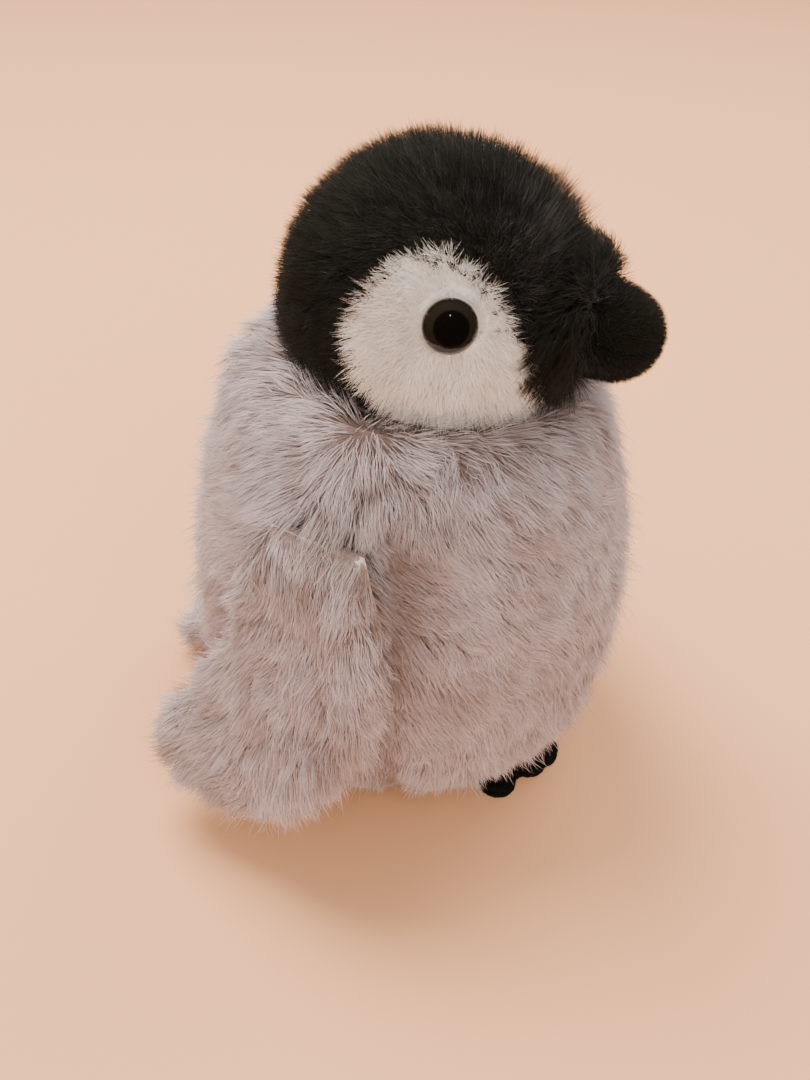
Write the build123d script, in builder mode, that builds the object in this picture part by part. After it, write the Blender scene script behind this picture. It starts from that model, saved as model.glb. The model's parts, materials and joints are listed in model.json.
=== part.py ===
"""Seated plush penguin chick, built as its sewn pieces, in millimetres.

Frame: the origin is on the floor at the middle of the base panel, +Z is up, the bird faces -Y
and its right side is -X. The outer faces are the fabric under the pile, which stands a few
millimetres proud of them. Fabric, stuffing and felt are simple closed solids.
"""
from build123d import *
import os
from math import asin, atan2, cos, degrees, radians, sin, sqrt

os.makedirs("parts", exist_ok=True)

# --- driving dimensions -------------------------------------------------------------------
BASE_RADIUS = 33.0          # flat base panel
BODY_PROFILE = [(41.5, 6.0), (49.5, 18.0), (54.5, 36.0), (56.0, 54.0), (55.0, 74.0),
                (51.5, 92.0), (46.5, 108.0), (38.0, 122.0)]      # radius, height
BODY_CLOTH = 2.5            # plush backing and root of the pile
NAPE_CENTRE = (7.0, 104.0)  # y, z of the raised back of the neck
NAPE_RADII = (40.5, 27.0)   # round the neck, upwards
SIDE_SEAM_Y = 6.0

HEAD_RADIUS = 36.0
HEAD_CENTRE = Vector(0, -3, 138.5)
HEAD_CLOTH = 2.0
NECK_GAP = 0.4              # running clearance of every moving piece
COLLAR_TILT = 11.0          # degrees, the nape stands higher than the throat
COLLAR_HEIGHT = 123.8       # height of the collar's plane at the head's axis
NECK_RADIUS = 15.0
NECK_BOTTOM = 92.0

CHEEK_AZIMUTH = 73.0        # degrees round from the beak
CHEEK_ELEVATION = 6.5
CHEEK_HALF_WIDTH = 16.5
CHEEK_HALF_HEIGHT = 18.5
CROWN_HALF_WIDTH = 13.0
CHIN_HALF_WIDTH = 25.0
CHIN_DROP = 5.0             # top of the chin panel below the head's centre
CHIN_FRONT = 12.0           # back edge of the chin panel ahead of the head's centre

EYE_AZIMUTH = 65.0
EYE_ELEVATION = 16.0
EYE_RADIUS = 6.2
EYE_RIM = 0.9
EYE_DOME = 4.2
SHANK_RADIUS = 2.0
SHANK_LENGTH = 9.0
WASHER_RADIUS = 6.4
WASHER_THICKNESS = 1.4
WASHER_GAP = 0.05          # between a washer and the cloth that it holds

BEAK_DROOP = 9.0            # degrees below level
BEAK_ROOT = Vector(0, -33, 141.5)
BEAK_ROOT_RADIUS = 12.0
BEAK_ROOT_CENTRE = 7.0      # where the root radius holds, along the beak
BEAK_TIP_RADIUS = 11.0
BEAK_TIP_CENTRE = 15.4
BEAK_CLOTH = 1.2
MUZZLE_RADIUS = 18.5
MUZZLE_DEPTH = 12.0

FLIPPER_HINGE = (55.2, 3.0, 102.0)     # half spacing, y, z of the shoulder seam
FLIPPER_SPLAY = 11.0        # degrees, the tip stands out from the hip
FLIPPER_YAW = 12.0          # degrees, the rear edge turns in towards the back
FLIPPER_PANEL = 2.6
FLIPPER_WADDING = 3.0
FLIPPER_MIDDLE = (7.0, 46.0)     # the wadding is drawn in towards here
WADDING_SHARE = 0.955       # of the outline's size
FLIPPER_ROUNDING = 2.2      # on the outer edges of both panels
# Outline from the front of the shoulder to its rear: rearwards, down from the hinge.
FLIPPER_OUTLINE = [(-13.0, 0.0), (-20.0, 20.0), (-21.5, 40.0), (-16.0, 58.0), (-3.0, 77.0), (13.0, 85.5),
                   (30.0, 85.0), (38.0, 77.5), (36.0, 67.0), (28.5, 54.0), (23.5, 41.0), (20.5, 27.0),
                   (17.0, 12.0), (13.0, 0.0)]

FOOT_AZIMUTH = 19.0         # degrees round from the front
FOOT_HINGE_RADIUS = 39.0
FELT = 1.2
STIFFENER = 0.8
STIFFENER_INSET = 1.6
TOES = [(5.0, -9.3, 5.6), (6.9, 3.0, 5.8), (7.4, 8.6, 5.8)]      # outward, inward, radius
WEB_ADVANCE = 3.0           # how far the web runs out past the middles of the toes
FOOT_HALF_SEAM = 12.5
FOOT_SETBACK = {"right": 0.0, "left": 3.0}

TAIL_HINGE = (53.6, 12.5)   # y, z
TAIL_ROOT_RADIUS = 5.2
TAIL_TIP = (66.0, 9.6)
TAIL_TIP_RADIUS = 3.0
TAIL_HALF_WIDTH = 9.5
TAIL_CLOTH = 1.4

PELLET_CENTRE = (2.0, 17.0)
PELLET_RADII = (30.0, 12.5)
PELLET_CLOTH = 0.8

STITCH_RADIUS = 0.35
STITCH_COUNT = 7
STITCH_PITCH = 3.6
STITCH_LENGTH = 4.0
STITCH_ROW_Y = 16.0
STITCH_SLOT_HEIGHT = 1.75   # centred on the floor, so half of it cuts the base panel
STITCH_MARGIN = 1.0         # of the slot around the row of stitches
THREAD_LAY = 2.0            # how far the neck thread lies outside the cup
CONTACT_GAP = 0.02          # between a thread and the cloth that it lies on
SEAM_MARGIN = 1.0           # of the base panel inside the body's lower edge

BIG = 400.0                 # larger than the bird, for half-space cuts


def write_step(piece, name):
    """Label a finished piece and write it to its own file."""
    piece.label = name
    export_step(piece, f"parts/{name}.step")


def head_direction(azimuth, elevation, side=-1):
    """Unit vector from the head's centre, measured round from the beak towards one side."""
    flat = cos(radians(elevation))
    return Vector(side * sin(radians(azimuth)) * flat, -cos(radians(azimuth)) * flat,
                  sin(radians(elevation)))


SIDES = {"right": -1, "left": 1}
POLES_AT_EARS = (0, 90, 0)  # turns a sphere's poles into the cheek patches, clear of the seams
HEAD_AT = Plane(origin=HEAD_CENTRE)
COLLAR_PLANE = Plane(origin=(0, HEAD_CENTRE.Y, COLLAR_HEIGHT), x_dir=(1, 0, 0),
                     z_dir=(0, -sin(radians(COLLAR_TILT)), cos(radians(COLLAR_TILT))))
BEAK_AXIS = Vector(0, -cos(radians(BEAK_DROOP)), -sin(radians(BEAK_DROOP)))
BEAK_PLANE = Plane(origin=BEAK_ROOT, x_dir=(1, 0, 0), z_dir=BEAK_AXIS.cross(Vector(1, 0, 0)))


# --- shared forms ---------------------------------------------------------------------------
def spheroid(centre, radii, inset=0.0):
    """A round cushion about an upright axis: centre is (y, z), radii are (around, upwards)."""
    around = radii[0] - inset
    upwards = radii[1] - inset
    with BuildPart() as form:
        with BuildSketch(Plane.XZ.offset(-centre[0])):
            with BuildLine():
                top = (0, centre[1] + upwards)
                bottom = (0, centre[1] - upwards)
                Spline(top, (around, centre[1]), bottom, tangents=[(1, 0), (-1, 0)])
                Line(bottom, top)
            make_face()
        revolve(axis=Axis((0, centre[0], 0), (0, 0, 1)))
    return form.part


def body_form(inset):
    """The egg of the body with its raised nape, drawn in by inset and hollowed for the head."""
    with BuildPart() as form:
        with BuildSketch(Plane.XZ):
            with BuildLine():
                side = [(BASE_RADIUS - inset, inset)]
                side += [(radius - inset, height) for radius, height in BODY_PROFILE]
                Spline(side)
                Polyline(side[-1], (0, side[-1][1]), (0, inset), side[0])
            make_face()
        revolve(axis=Axis.Z)
        add(spheroid(NAPE_CENTRE, NAPE_RADII, inset))
        with Locations(HEAD_CENTRE):
            Sphere(HEAD_RADIUS + NECK_GAP + inset, mode=Mode.SUBTRACT)
        split(bisect_by=COLLAR_PLANE.offset(-inset), keep=Keep.BOTTOM)
    return form.part


def beak_form(inset):
    """The stubby rounded beak, drawn in by inset, cut off at the head's surface."""
    with BuildPart() as form:
        root_radius = BEAK_ROOT_RADIUS - inset
        tip_radius = BEAK_TIP_RADIUS - inset
        taper = asin((root_radius - tip_radius) / (BEAK_TIP_CENTRE - BEAK_ROOT_CENTRE))
        with BuildSketch(BEAK_PLANE):
            with BuildLine():
                # local x is across the beak, local y is backwards along it
                shoulder = (root_radius * cos(taper), -BEAK_ROOT_CENTRE - root_radius * sin(taper))
                end = (tip_radius * cos(taper), -BEAK_TIP_CENTRE - tip_radius * sin(taper))
                tip = (0, -BEAK_TIP_CENTRE - tip_radius)
                middle_angle = (taper + radians(90)) / 2
                middle = (tip_radius * cos(middle_angle),
                          -BEAK_TIP_CENTRE - tip_radius * sin(middle_angle))
                Polyline((0, 0), (shoulder[0], 0), shoulder, end)
                ThreePointArc(end, middle, tip)
                Line(tip, (0, 0))
            make_face()
        revolve(axis=Axis(BEAK_ROOT, BEAK_AXIS))
        with Locations(HEAD_CENTRE):
            Sphere(HEAD_RADIUS, mode=Mode.SUBTRACT)
    return form.part


body_outer = body_form(0.0)
body_inner = body_form(BODY_CLOTH)
pellet_outer = spheroid(PELLET_CENTRE, PELLET_RADII)
pellet_inner = spheroid(PELLET_CENTRE, PELLET_RADII, PELLET_CLOTH)
beak_outer = beak_form(0.0)
beak_inner = beak_form(BEAK_CLOTH)


# --- body -----------------------------------------------------------------------------------
with BuildPart() as body_base_panel:
    Cylinder(BASE_RADIUS - SEAM_MARGIN, BODY_CLOTH, align=(Align.CENTER, Align.CENTER, Align.MIN))
    with Locations((0, STITCH_ROW_Y, 0)):
        Box(STITCH_COUNT * STITCH_PITCH + 2 * STITCH_MARGIN, STITCH_LENGTH + 2 * STITCH_MARGIN,
            STITCH_SLOT_HEIGHT, mode=Mode.SUBTRACT)
write_step(body_base_panel.part, "body_base_panel")

with BuildPart() as body_skin:
    add(body_outer)
    add(body_inner, mode=Mode.SUBTRACT)
    with Locations(Plane.XY):
        Cylinder(BASE_RADIUS - SEAM_MARGIN, BODY_CLOTH, align=(Align.CENTER, Align.CENTER, Align.MIN),
                 mode=Mode.SUBTRACT)
    with Locations(HEAD_CENTRE):
        Cylinder(NECK_RADIUS + NECK_GAP, BIG, mode=Mode.SUBTRACT)

seam_plane = Plane(origin=(0, SIDE_SEAM_Y, 0), z_dir=(0, 1, 0))

with BuildPart() as body_front_panel:
    add(body_skin.part)
    split(bisect_by=seam_plane, keep=Keep.BOTTOM)
write_step(body_front_panel.part, "body_front_panel")

for side, sign in SIDES.items():
    with BuildPart() as body_back_panel:
        add(body_skin.part)
        split(bisect_by=seam_plane, keep=Keep.TOP)
        split(bisect_by=Plane(origin=(0, 0, 0), z_dir=(sign, 0, 0)), keep=Keep.TOP)
    write_step(body_back_panel.part, f"body_back_panel_{side}")

with BuildPart() as body_stuffing:
    add(body_inner)
    add(pellet_outer, mode=Mode.SUBTRACT)
    with Locations((0, HEAD_CENTRE.Y, NECK_BOTTOM - NECK_GAP)):
        Cylinder(NECK_RADIUS + NECK_GAP, BIG, align=(Align.CENTER, Align.CENTER, Align.MIN),
                 mode=Mode.SUBTRACT)
write_step(body_stuffing.part, "body_stuffing")

with BuildPart() as pellet_bag:
    add(pellet_outer)
    add(pellet_inner, mode=Mode.SUBTRACT)
write_step(pellet_bag.part, "pellet_bag")

with BuildPart() as pellets:
    add(pellet_inner)
write_step(pellets.part, "pellets")

with BuildPart() as closing_stitches:
    for index in range(STITCH_COUNT):
        offset_x = (index - (STITCH_COUNT - 1) / 2) * STITCH_PITCH
        with Locations(Location((offset_x, STITCH_ROW_Y, STITCH_RADIUS), (90, 0, 0))):
            Cylinder(STITCH_RADIUS, STITCH_LENGTH)
write_step(closing_stitches.part, "closing_stitches")

# The neck thread lies on the collar's plane, just outside the head.
collar_drop = (HEAD_CENTRE - COLLAR_PLANE.origin).dot(COLLAR_PLANE.z_dir)
collar_circle = sqrt((HEAD_RADIUS + NECK_GAP) ** 2 - collar_drop ** 2)
collar_centre = HEAD_CENTRE - COLLAR_PLANE.z_dir * collar_drop
with BuildPart() as neck_thread:
    with Locations(Plane(origin=collar_centre + COLLAR_PLANE.z_dir * (STITCH_RADIUS + CONTACT_GAP),
                         x_dir=(1, 0, 0), z_dir=COLLAR_PLANE.z_dir)):
        Torus(collar_circle + THREAD_LAY, STITCH_RADIUS)
write_step(neck_thread.part, "neck_thread")

# --- neck -----------------------------------------------------------------------------------
with BuildPart() as neck_stuffing:
    with Locations((0, HEAD_CENTRE.Y, NECK_BOTTOM)):
        Cylinder(NECK_RADIUS, HEAD_CENTRE.Z - HEAD_RADIUS, align=(Align.CENTER, Align.CENTER, Align.MIN))
    with Locations(HEAD_CENTRE):
        Sphere(HEAD_RADIUS + NECK_GAP, mode=Mode.SUBTRACT)
    split(bisect_by=HEAD_AT, keep=Keep.BOTTOM)
write_step(neck_stuffing.part, "neck_stuffing")

# --- head -----------------------------------------------------------------------------------
cheek_columns = {}
for side, sign in SIDES.items():
    cheek_plane = Plane(origin=HEAD_CENTRE, x_dir=(0, 0, 1),
                        z_dir=head_direction(CHEEK_AZIMUTH, CHEEK_ELEVATION, sign))
    with BuildPart() as cheek_column:
        with BuildSketch(cheek_plane):
            Ellipse(CHEEK_HALF_HEIGHT, CHEEK_HALF_WIDTH)
        extrude(amount=2 * HEAD_RADIUS)
    cheek_columns[side] = cheek_column.part

with BuildPart() as chin_block:
    with Locations((0, HEAD_CENTRE.Y - CHIN_FRONT, HEAD_CENTRE.Z - CHIN_DROP)):
        Box(2 * CHIN_HALF_WIDTH, BIG, BIG, align=(Align.CENTER, Align.MAX, Align.MAX))

eye_planes = {}
shanks = {}
for side, sign in SIDES.items():
    outward = head_direction(EYE_AZIMUTH, EYE_ELEVATION, sign)
    eye_planes[side] = Plane(origin=HEAD_CENTRE + outward * HEAD_RADIUS, z_dir=outward)
    with BuildPart() as shank:
        with BuildSketch(eye_planes[side]):
            Circle(SHANK_RADIUS)
        extrude(amount=-SHANK_LENGTH)
    shanks[side] = shank.part

with BuildPart() as head_shell:
    with Locations(HEAD_CENTRE):
        Sphere(HEAD_RADIUS, rotation=POLES_AT_EARS)
        Sphere(HEAD_RADIUS - HEAD_CLOTH, rotation=POLES_AT_EARS, mode=Mode.SUBTRACT)
    for shank_form in shanks.values():
        add(shank_form, mode=Mode.SUBTRACT)

with BuildPart() as dark_shell:
    add(head_shell.part)
    for column in cheek_columns.values():
        add(column, mode=Mode.SUBTRACT)
    add(chin_block.part, mode=Mode.SUBTRACT)

with BuildPart() as crown_gusset:
    add(dark_shell.part)
    split(bisect_by=Plane(origin=(CROWN_HALF_WIDTH, 0, 0), z_dir=(1, 0, 0)), keep=Keep.BOTTOM)
    split(bisect_by=Plane(origin=(-CROWN_HALF_WIDTH, 0, 0), z_dir=(-1, 0, 0)), keep=Keep.BOTTOM)
write_step(crown_gusset.part, "crown_gusset")

for side, sign in SIDES.items():
    with BuildPart() as head_side_panel:
        add(dark_shell.part)
        split(bisect_by=Plane(origin=(sign * CROWN_HALF_WIDTH, 0, 0), z_dir=(sign, 0, 0)), keep=Keep.TOP)
    write_step(head_side_panel.part, f"head_side_panel_{side}")

for side in SIDES:
    with BuildPart() as cheek_patch:
        add(head_shell.part)
        add(cheek_columns[side], mode=Mode.INTERSECT)
    write_step(cheek_patch.part, f"cheek_patch_{side}")

with BuildPart() as chin_panel:
    add(head_shell.part)
    add(chin_block.part, mode=Mode.INTERSECT)
    for column in cheek_columns.values():
        add(column, mode=Mode.SUBTRACT)
write_step(chin_panel.part, "chin_panel")

washer_back = sqrt((HEAD_RADIUS - HEAD_CLOTH) ** 2 - WASHER_RADIUS ** 2) - HEAD_RADIUS
washer_forms = []
for side in SIDES:
    with BuildPart() as eye:
        with BuildSketch(Plane(origin=eye_planes[side].origin, x_dir=eye_planes[side].x_dir,
                               z_dir=eye_planes[side].y_dir * -1)):
            with BuildLine():
                # local x is across the eye, local y is outwards
                Polyline((0, EYE_DOME), (0, 0), (EYE_RADIUS, 0), (EYE_RADIUS, EYE_RIM))
                TangentArc((0, EYE_DOME), (EYE_RADIUS, EYE_RIM), tangent=(1, 0))
            make_face()
        revolve(axis=Axis(eye_planes[side].origin, eye_planes[side].z_dir))
        add(shanks[side])
    write_step(eye.part, f"eye_{side}")

    with BuildPart() as eye_washer:
        with BuildSketch(eye_planes[side].offset(washer_back - WASHER_GAP)):
            Circle(WASHER_RADIUS)
            Circle(SHANK_RADIUS, mode=Mode.SUBTRACT)
        extrude(amount=-WASHER_THICKNESS)
    write_step(eye_washer.part, f"eye_washer_{side}")
    washer_forms.append(eye_washer.part)

with BuildPart() as head_stuffing:
    with Locations(HEAD_CENTRE):
        Sphere(HEAD_RADIUS - HEAD_CLOTH)
    for form in washer_forms + list(shanks.values()):
        add(form, mode=Mode.SUBTRACT)
write_step(head_stuffing.part, "head_stuffing")

with BuildPart() as muzzle_collar:
    with BuildSketch(BEAK_PLANE):
        with BuildLine():
            Spline((0, -MUZZLE_DEPTH), (MUZZLE_RADIUS, 0), (0, MUZZLE_DEPTH), tangents=[(1, 0), (-1, 0)])
            Line((0, MUZZLE_DEPTH), (0, -MUZZLE_DEPTH))
        make_face()
    revolve(axis=Axis(BEAK_ROOT, BEAK_AXIS))
    with Locations(HEAD_CENTRE):
        Sphere(HEAD_RADIUS, mode=Mode.SUBTRACT)
    add(beak_outer, mode=Mode.SUBTRACT)
write_step(muzzle_collar.part, "muzzle_collar")

beak_middle = Plane(origin=BEAK_ROOT, z_dir=BEAK_PLANE.z_dir)
for name, keep in (("beak_upper", Keep.TOP), ("beak_lower", Keep.BOTTOM)):
    with BuildPart() as beak_cover:
        add(beak_outer)
        add(beak_inner, mode=Mode.SUBTRACT)
        split(bisect_by=beak_middle, keep=keep)
    write_step(beak_cover.part, name)

with BuildPart() as beak_stuffing:
    add(beak_inner)
write_step(beak_stuffing.part, "beak_stuffing")

# --- flippers ---------------------------------------------------------------------------------
flipper_rearwards = Vector(sin(radians(FLIPPER_YAW)), cos(radians(FLIPPER_YAW)), 0)
flipper_outwards = Vector(-cos(radians(FLIPPER_YAW)), sin(radians(FLIPPER_YAW)), 0)
flipper_plane = Plane(origin=(-FLIPPER_HINGE[0], FLIPPER_HINGE[1], FLIPPER_HINGE[2]),
                      x_dir=flipper_rearwards,
                      z_dir=flipper_outwards * cos(radians(FLIPPER_SPLAY))
                      + Vector(0, 0, sin(radians(FLIPPER_SPLAY))))


def flipper_outline(share):
    """The paddle, drawn in towards its middle: local x is rearwards, local y runs down."""
    middle_x, middle_y = FLIPPER_MIDDLE
    points = [(middle_x + (x - middle_x) * share, middle_y + (y - middle_y) * share)
              for x, y in FLIPPER_OUTLINE]
    with BuildSketch() as outline:
        with BuildLine():
            Spline(points)
            Line(points[-1], points[0])
        make_face()
    return outline.sketch


flipper_layers = {
    "flipper_outer": (1.0, FLIPPER_WADDING / 2, FLIPPER_PANEL),
    "flipper_wadding": (WADDING_SHARE, -FLIPPER_WADDING / 2, FLIPPER_WADDING),
    "flipper_inner": (1.0, -FLIPPER_WADDING / 2 - FLIPPER_PANEL, FLIPPER_PANEL),
}
for name, (share, start, thickness) in flipper_layers.items():
    with BuildPart() as right_layer:
        with BuildSketch(flipper_plane.offset(start)):
            add(flipper_outline(share))
        extrude(amount=thickness)
        if name != "flipper_wadding":
            across = right_layer.faces().sort_by(Axis(flipper_plane.origin, flipper_plane.z_dir))
            outer_face = across[-1] if name == "flipper_outer" else across[0]
            fillet(outer_face.edges(), radius=FLIPPER_ROUNDING)
    write_step(right_layer.part, f"{name}_right")
    with BuildPart() as left_layer:
        mirror(right_layer.part, about=Plane.YZ)
    write_step(left_layer.part, f"{name}_left")

# --- feet ---------------------------------------------------------------------------------------
for side, sign in SIDES.items():
    azimuth = radians(FOOT_AZIMUTH)
    outward = Vector(sign * sin(azimuth), -cos(azimuth), 0)
    foot_plane = Plane(origin=outward * FOOT_HINGE_RADIUS, x_dir=outward, z_dir=(0, 0, 1))
    back = FOOT_SETBACK[side]

    def foot_outline(inset):
        """Three webbed toes fanning out from the seam: local x outward, local y along the seam."""
        inward = -sign
        with BuildSketch() as outline:
            for out, across, radius in TOES:
                with Locations((out - back, inward * across)):
                    Circle(radius - inset)
            edge = [(out - back + WEB_ADVANCE - inset, inward * across) for out, across, radius in TOES]
            seam = [(inset, -inward * FOOT_HALF_SEAM), (inset, inward * FOOT_HALF_SEAM)]
            Polygon(*seam, *edge[::-1], align=None)
            with Locations((inset, 0)):
                Rectangle(BIG, BIG, align=(Align.MAX, Align.CENTER), mode=Mode.SUBTRACT)
        return outline.sketch

    stack = (("foot_sole", 0.0, 0.0, FELT),
             ("foot_stiffener", STIFFENER_INSET, FELT, STIFFENER),
             ("foot_upper", 0.0, FELT + STIFFENER, FELT))
    for name, inset, start, thickness in stack:
        with BuildPart() as felt_layer:
            with BuildSketch(foot_plane.offset(start)):
                add(foot_outline(inset))
            extrude(amount=thickness)
        write_step(felt_layer.part, f"{name}_{side}")

# --- tail ---------------------------------------------------------------------------------------
def tail_form(inset):
    """A flat fluffy stub: a round root about the hinge narrowing to a round tip."""
    with BuildPart() as form:
        with BuildSketch(Plane.YZ):
            with BuildLine():
                reach = Vector(TAIL_TIP) - Vector(TAIL_HINGE)
                slope = atan2(reach.Y, reach.X)
                spread = asin((TAIL_ROOT_RADIUS - TAIL_TIP_RADIUS) / reach.length)
                lean = degrees(slope)
                turn = 90 - degrees(spread)
                root = CenterArc(TAIL_HINGE, TAIL_ROOT_RADIUS - inset, lean + turn, 360 - 2 * turn)
                tip = CenterArc(TAIL_TIP, TAIL_TIP_RADIUS - inset, lean - turn, 2 * turn)
                Line(root @ 1, tip @ 0)
                Line(tip @ 1, root @ 0)
            make_face()
        extrude(amount=TAIL_HALF_WIDTH - inset, both=True)
        ends = form.faces().filter_by(Axis.X)
        fillet(ends.edges(), radius=(TAIL_TIP_RADIUS - inset) * 0.9)
    return form.part


tail_outer = tail_form(0.0)
tail_inner = tail_form(TAIL_CLOTH)
tail_middle = Plane(origin=(0, TAIL_HINGE[0], TAIL_HINGE[1]), x_dir=(1, 0, 0),
                    z_dir=Vector(0, TAIL_HINGE[1] - TAIL_TIP[1], TAIL_TIP[0] - TAIL_HINGE[0]))
for name, keep in (("tail_upper", Keep.TOP), ("tail_lower", Keep.BOTTOM)):
    with BuildPart() as tail_panel:
        add(tail_outer)
        add(tail_inner, mode=Mode.SUBTRACT)
        split(bisect_by=tail_middle, keep=keep)
    write_step(tail_panel.part, name)

with BuildPart() as tail_stuffing:
    add(tail_inner)
write_step(tail_stuffing.part, "tail_stuffing")
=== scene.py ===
import json
import math

import bmesh
import bpy
import numpy as np
from bpy.props import FloatProperty, FloatVectorProperty, IntProperty, PointerProperty
from mathutils import Matrix, Vector
from mathutils.bvhtree import BVHTree
from mathutils.kdtree import KDTree

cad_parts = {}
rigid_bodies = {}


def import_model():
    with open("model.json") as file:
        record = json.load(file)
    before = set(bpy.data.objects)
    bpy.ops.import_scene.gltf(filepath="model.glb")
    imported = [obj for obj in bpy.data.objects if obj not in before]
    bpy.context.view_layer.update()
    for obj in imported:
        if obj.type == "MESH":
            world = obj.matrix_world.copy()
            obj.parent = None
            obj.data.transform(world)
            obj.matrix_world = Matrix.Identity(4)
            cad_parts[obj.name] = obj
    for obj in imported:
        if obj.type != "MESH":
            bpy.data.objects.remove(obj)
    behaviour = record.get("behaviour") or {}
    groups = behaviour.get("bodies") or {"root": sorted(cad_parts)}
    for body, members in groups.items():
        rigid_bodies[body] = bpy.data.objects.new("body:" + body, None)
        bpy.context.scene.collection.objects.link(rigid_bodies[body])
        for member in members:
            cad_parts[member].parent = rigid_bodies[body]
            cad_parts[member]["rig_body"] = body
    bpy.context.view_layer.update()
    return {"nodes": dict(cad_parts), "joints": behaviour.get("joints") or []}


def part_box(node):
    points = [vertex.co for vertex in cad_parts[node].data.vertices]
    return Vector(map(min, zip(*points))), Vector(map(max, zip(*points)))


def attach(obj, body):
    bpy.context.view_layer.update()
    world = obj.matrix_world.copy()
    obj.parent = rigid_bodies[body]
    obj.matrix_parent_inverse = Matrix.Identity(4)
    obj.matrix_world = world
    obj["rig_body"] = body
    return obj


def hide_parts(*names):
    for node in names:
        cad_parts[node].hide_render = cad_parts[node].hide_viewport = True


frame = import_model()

bl_info = {
    "name": "Plush penguin chick",
    "version": (1, 0, 0),
    "blender": (4, 5, 0),
    "location": "3D View > Sidebar > Penguin",
    "description": "Sewn skins, combed pile, safety eyes and felt feet on the packed penguin",
    "category": "Object",
}

MM = 0.001
NODES = frame["nodes"]
SIDES = {"right": -1, "left": 1}


def middle(node):
    """Centre of a CAD node's box."""
    low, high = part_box(node)
    return (low + high) / 2


HEAD_CENTRE = middle("head_stuffing")
HEAD_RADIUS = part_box("crown_gusset")[1].z - HEAD_CENTRE.z
JOINTS = {joint["name"]: joint for joint in frame["joints"]}
SHOULDERS = {side: Vector(JOINTS[f"flipper_{side}_lift"]["pos_m"]) for side in SIDES}
TAIL_ROOT = Vector(JOINTS["tail_flex"]["pos_m"])
BEAK_ROOT = middle("beak_stuffing")
BEAK_TILT = math.radians(9)
BEAK_UP = Vector((0, -math.sin(BEAK_TILT), math.cos(BEAK_TILT)))
EYE_AZIMUTH = math.radians(65)
EYE_ELEVATION = math.radians(16)
EYE_RADIUS, EYE_RIM, EYE_DOME = 6.2 * MM, 0.9 * MM, 4.2 * MM
SHANK_RADIUS, SHANK_LENGTH = 2.0 * MM, 9.0 * MM
DOME_STEPS, TURNING_STEPS = 14, 64
SEAM_OVERLAP = 0.02 * MM
FLOOR_SIZE, FLOOR_DROP = 6.0, 0.05 * MM
CLOTH_FRAMES = 20


# --- settings
def size(name, about, value, low=0.0, high=0.1):
    """A length property in metres."""
    return FloatProperty(name=name, description=about, default=value, min=low, max=high,
                         subtype="DISTANCE", unit="LENGTH", precision=5)


def angle(name, about, value):
    """An angle property in radians."""
    return FloatProperty(name=name, description=about, default=value, subtype="ANGLE",
                         unit="ROTATION")


def tint(name, about, value):
    """A colour property."""
    return FloatVectorProperty(name=name, description=about, default=value, size=3, min=0.0, max=1.0,
                               subtype="COLOR")


class PenguinPile(bpy.types.PropertyGroup):
    """Lengths and densities of the pile."""
    body_length: size("Body pile", "Length of the long pile on the body", 12.5 * MM)
    flipper_length: size("Flipper pile", "Length of the pile on the flippers", 11.5 * MM)
    tail_length: size("Tail pile", "Length of the pile on the tail", 11.0 * MM)
    head_length: size("Head pile", "Length of the black pile on the head", 5.8 * MM)
    cheek_length: size("Cheek pile", "Length of the white pile on the cheeks and chin", 4.8 * MM)
    muzzle_length: size("Muzzle pile", "Length of the black pile round the beak", 9.5 * MM)
    beak_length: size("Beak velour", "Length of the velour on the beak", 1.7 * MM)
    strands: IntProperty(name="Strands", description="Strands on a square centimetre of long pile",
                         default=360, min=10, max=2000)


class PenguinColours(bpy.types.PropertyGroup):
    """Colours of the pile, felt and eyes."""
    grey: tint("Grey pile", "Tips of the mauve-grey pile", (0.575, 0.515, 0.55))
    grey_root: tint("Grey roots", "Roots of the mauve-grey pile", (0.34, 0.245, 0.220))
    white: tint("White pile", "Tips of the cheek pile", (0.97, 0.95, 0.92))
    white_root: tint("White roots", "Roots of the cheek pile", (0.86, 0.80, 0.74))
    black: tint("Black pile", "Tips of the head pile", (0.017, 0.017, 0.013))
    black_root: tint("Black roots", "Roots of the head pile", (0.004, 0.004, 0.003))
    felt: tint("Felt", "Feet", (0.009, 0.010, 0.008))
    eye_ring: tint("Eye ring", "Outer ring of the safety eyes", (0.017, 0.015, 0.011))
    floor: tint("Floor", "The plain pale floor", (0.90, 0.47, 0.245))


class PenguinStage(bpy.types.PropertyGroup):
    """Where the camera stands and how the light falls."""
    azimuth: angle("Azimuth", "Camera's direction, from +Y to +X", math.radians(70))
    pitch: angle("Pitch", "How far the camera looks down", math.atan(879 / 1150))
    roll: angle("Roll", "Tilt of the camera about its own axis", math.radians(2.5))
    height: size("Height", "Height of the camera above the floor", 262.6 * MM, high=2.0)
    distance: size("Distance", "Ground distance from the camera to the origin", 262.0 * MM, high=2.0)
    aside: size("Aside", "How far the camera stands to the left of the origin", 1.8 * MM)
    lens: FloatProperty(name="Lens", description="Focal length in millimetres on a 36 mm sensor",
                        default=38.33, min=10, max=200)


SETTINGS = {"penguin_pile": PenguinPile, "penguin_colours": PenguinColours,
            "penguin_stage": PenguinStage}


def pile():
    """The scene's pile settings."""
    return bpy.context.scene.penguin_pile


def colours():
    """The scene's colour settings."""
    return bpy.context.scene.penguin_colours


# --- materials
def set_inputs(node, values):
    """Set a node's inputs by name."""
    for name, value in values.items():
        node.inputs[name].default_value = value


def colour_ramp(tree, stops):
    """A colour ramp through two or more stops, each a position and a colour."""
    ramp = tree.nodes.new("ShaderNodeValToRGB")
    elements = ramp.color_ramp.elements
    for element, (position, colour) in zip(elements, (stops[0], stops[-1])):
        element.position = position
        element.color = (*colour, 1)
    for position, colour in stops[1:-1]:
        elements.new(position).color = (*colour, 1)
    return ramp


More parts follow.
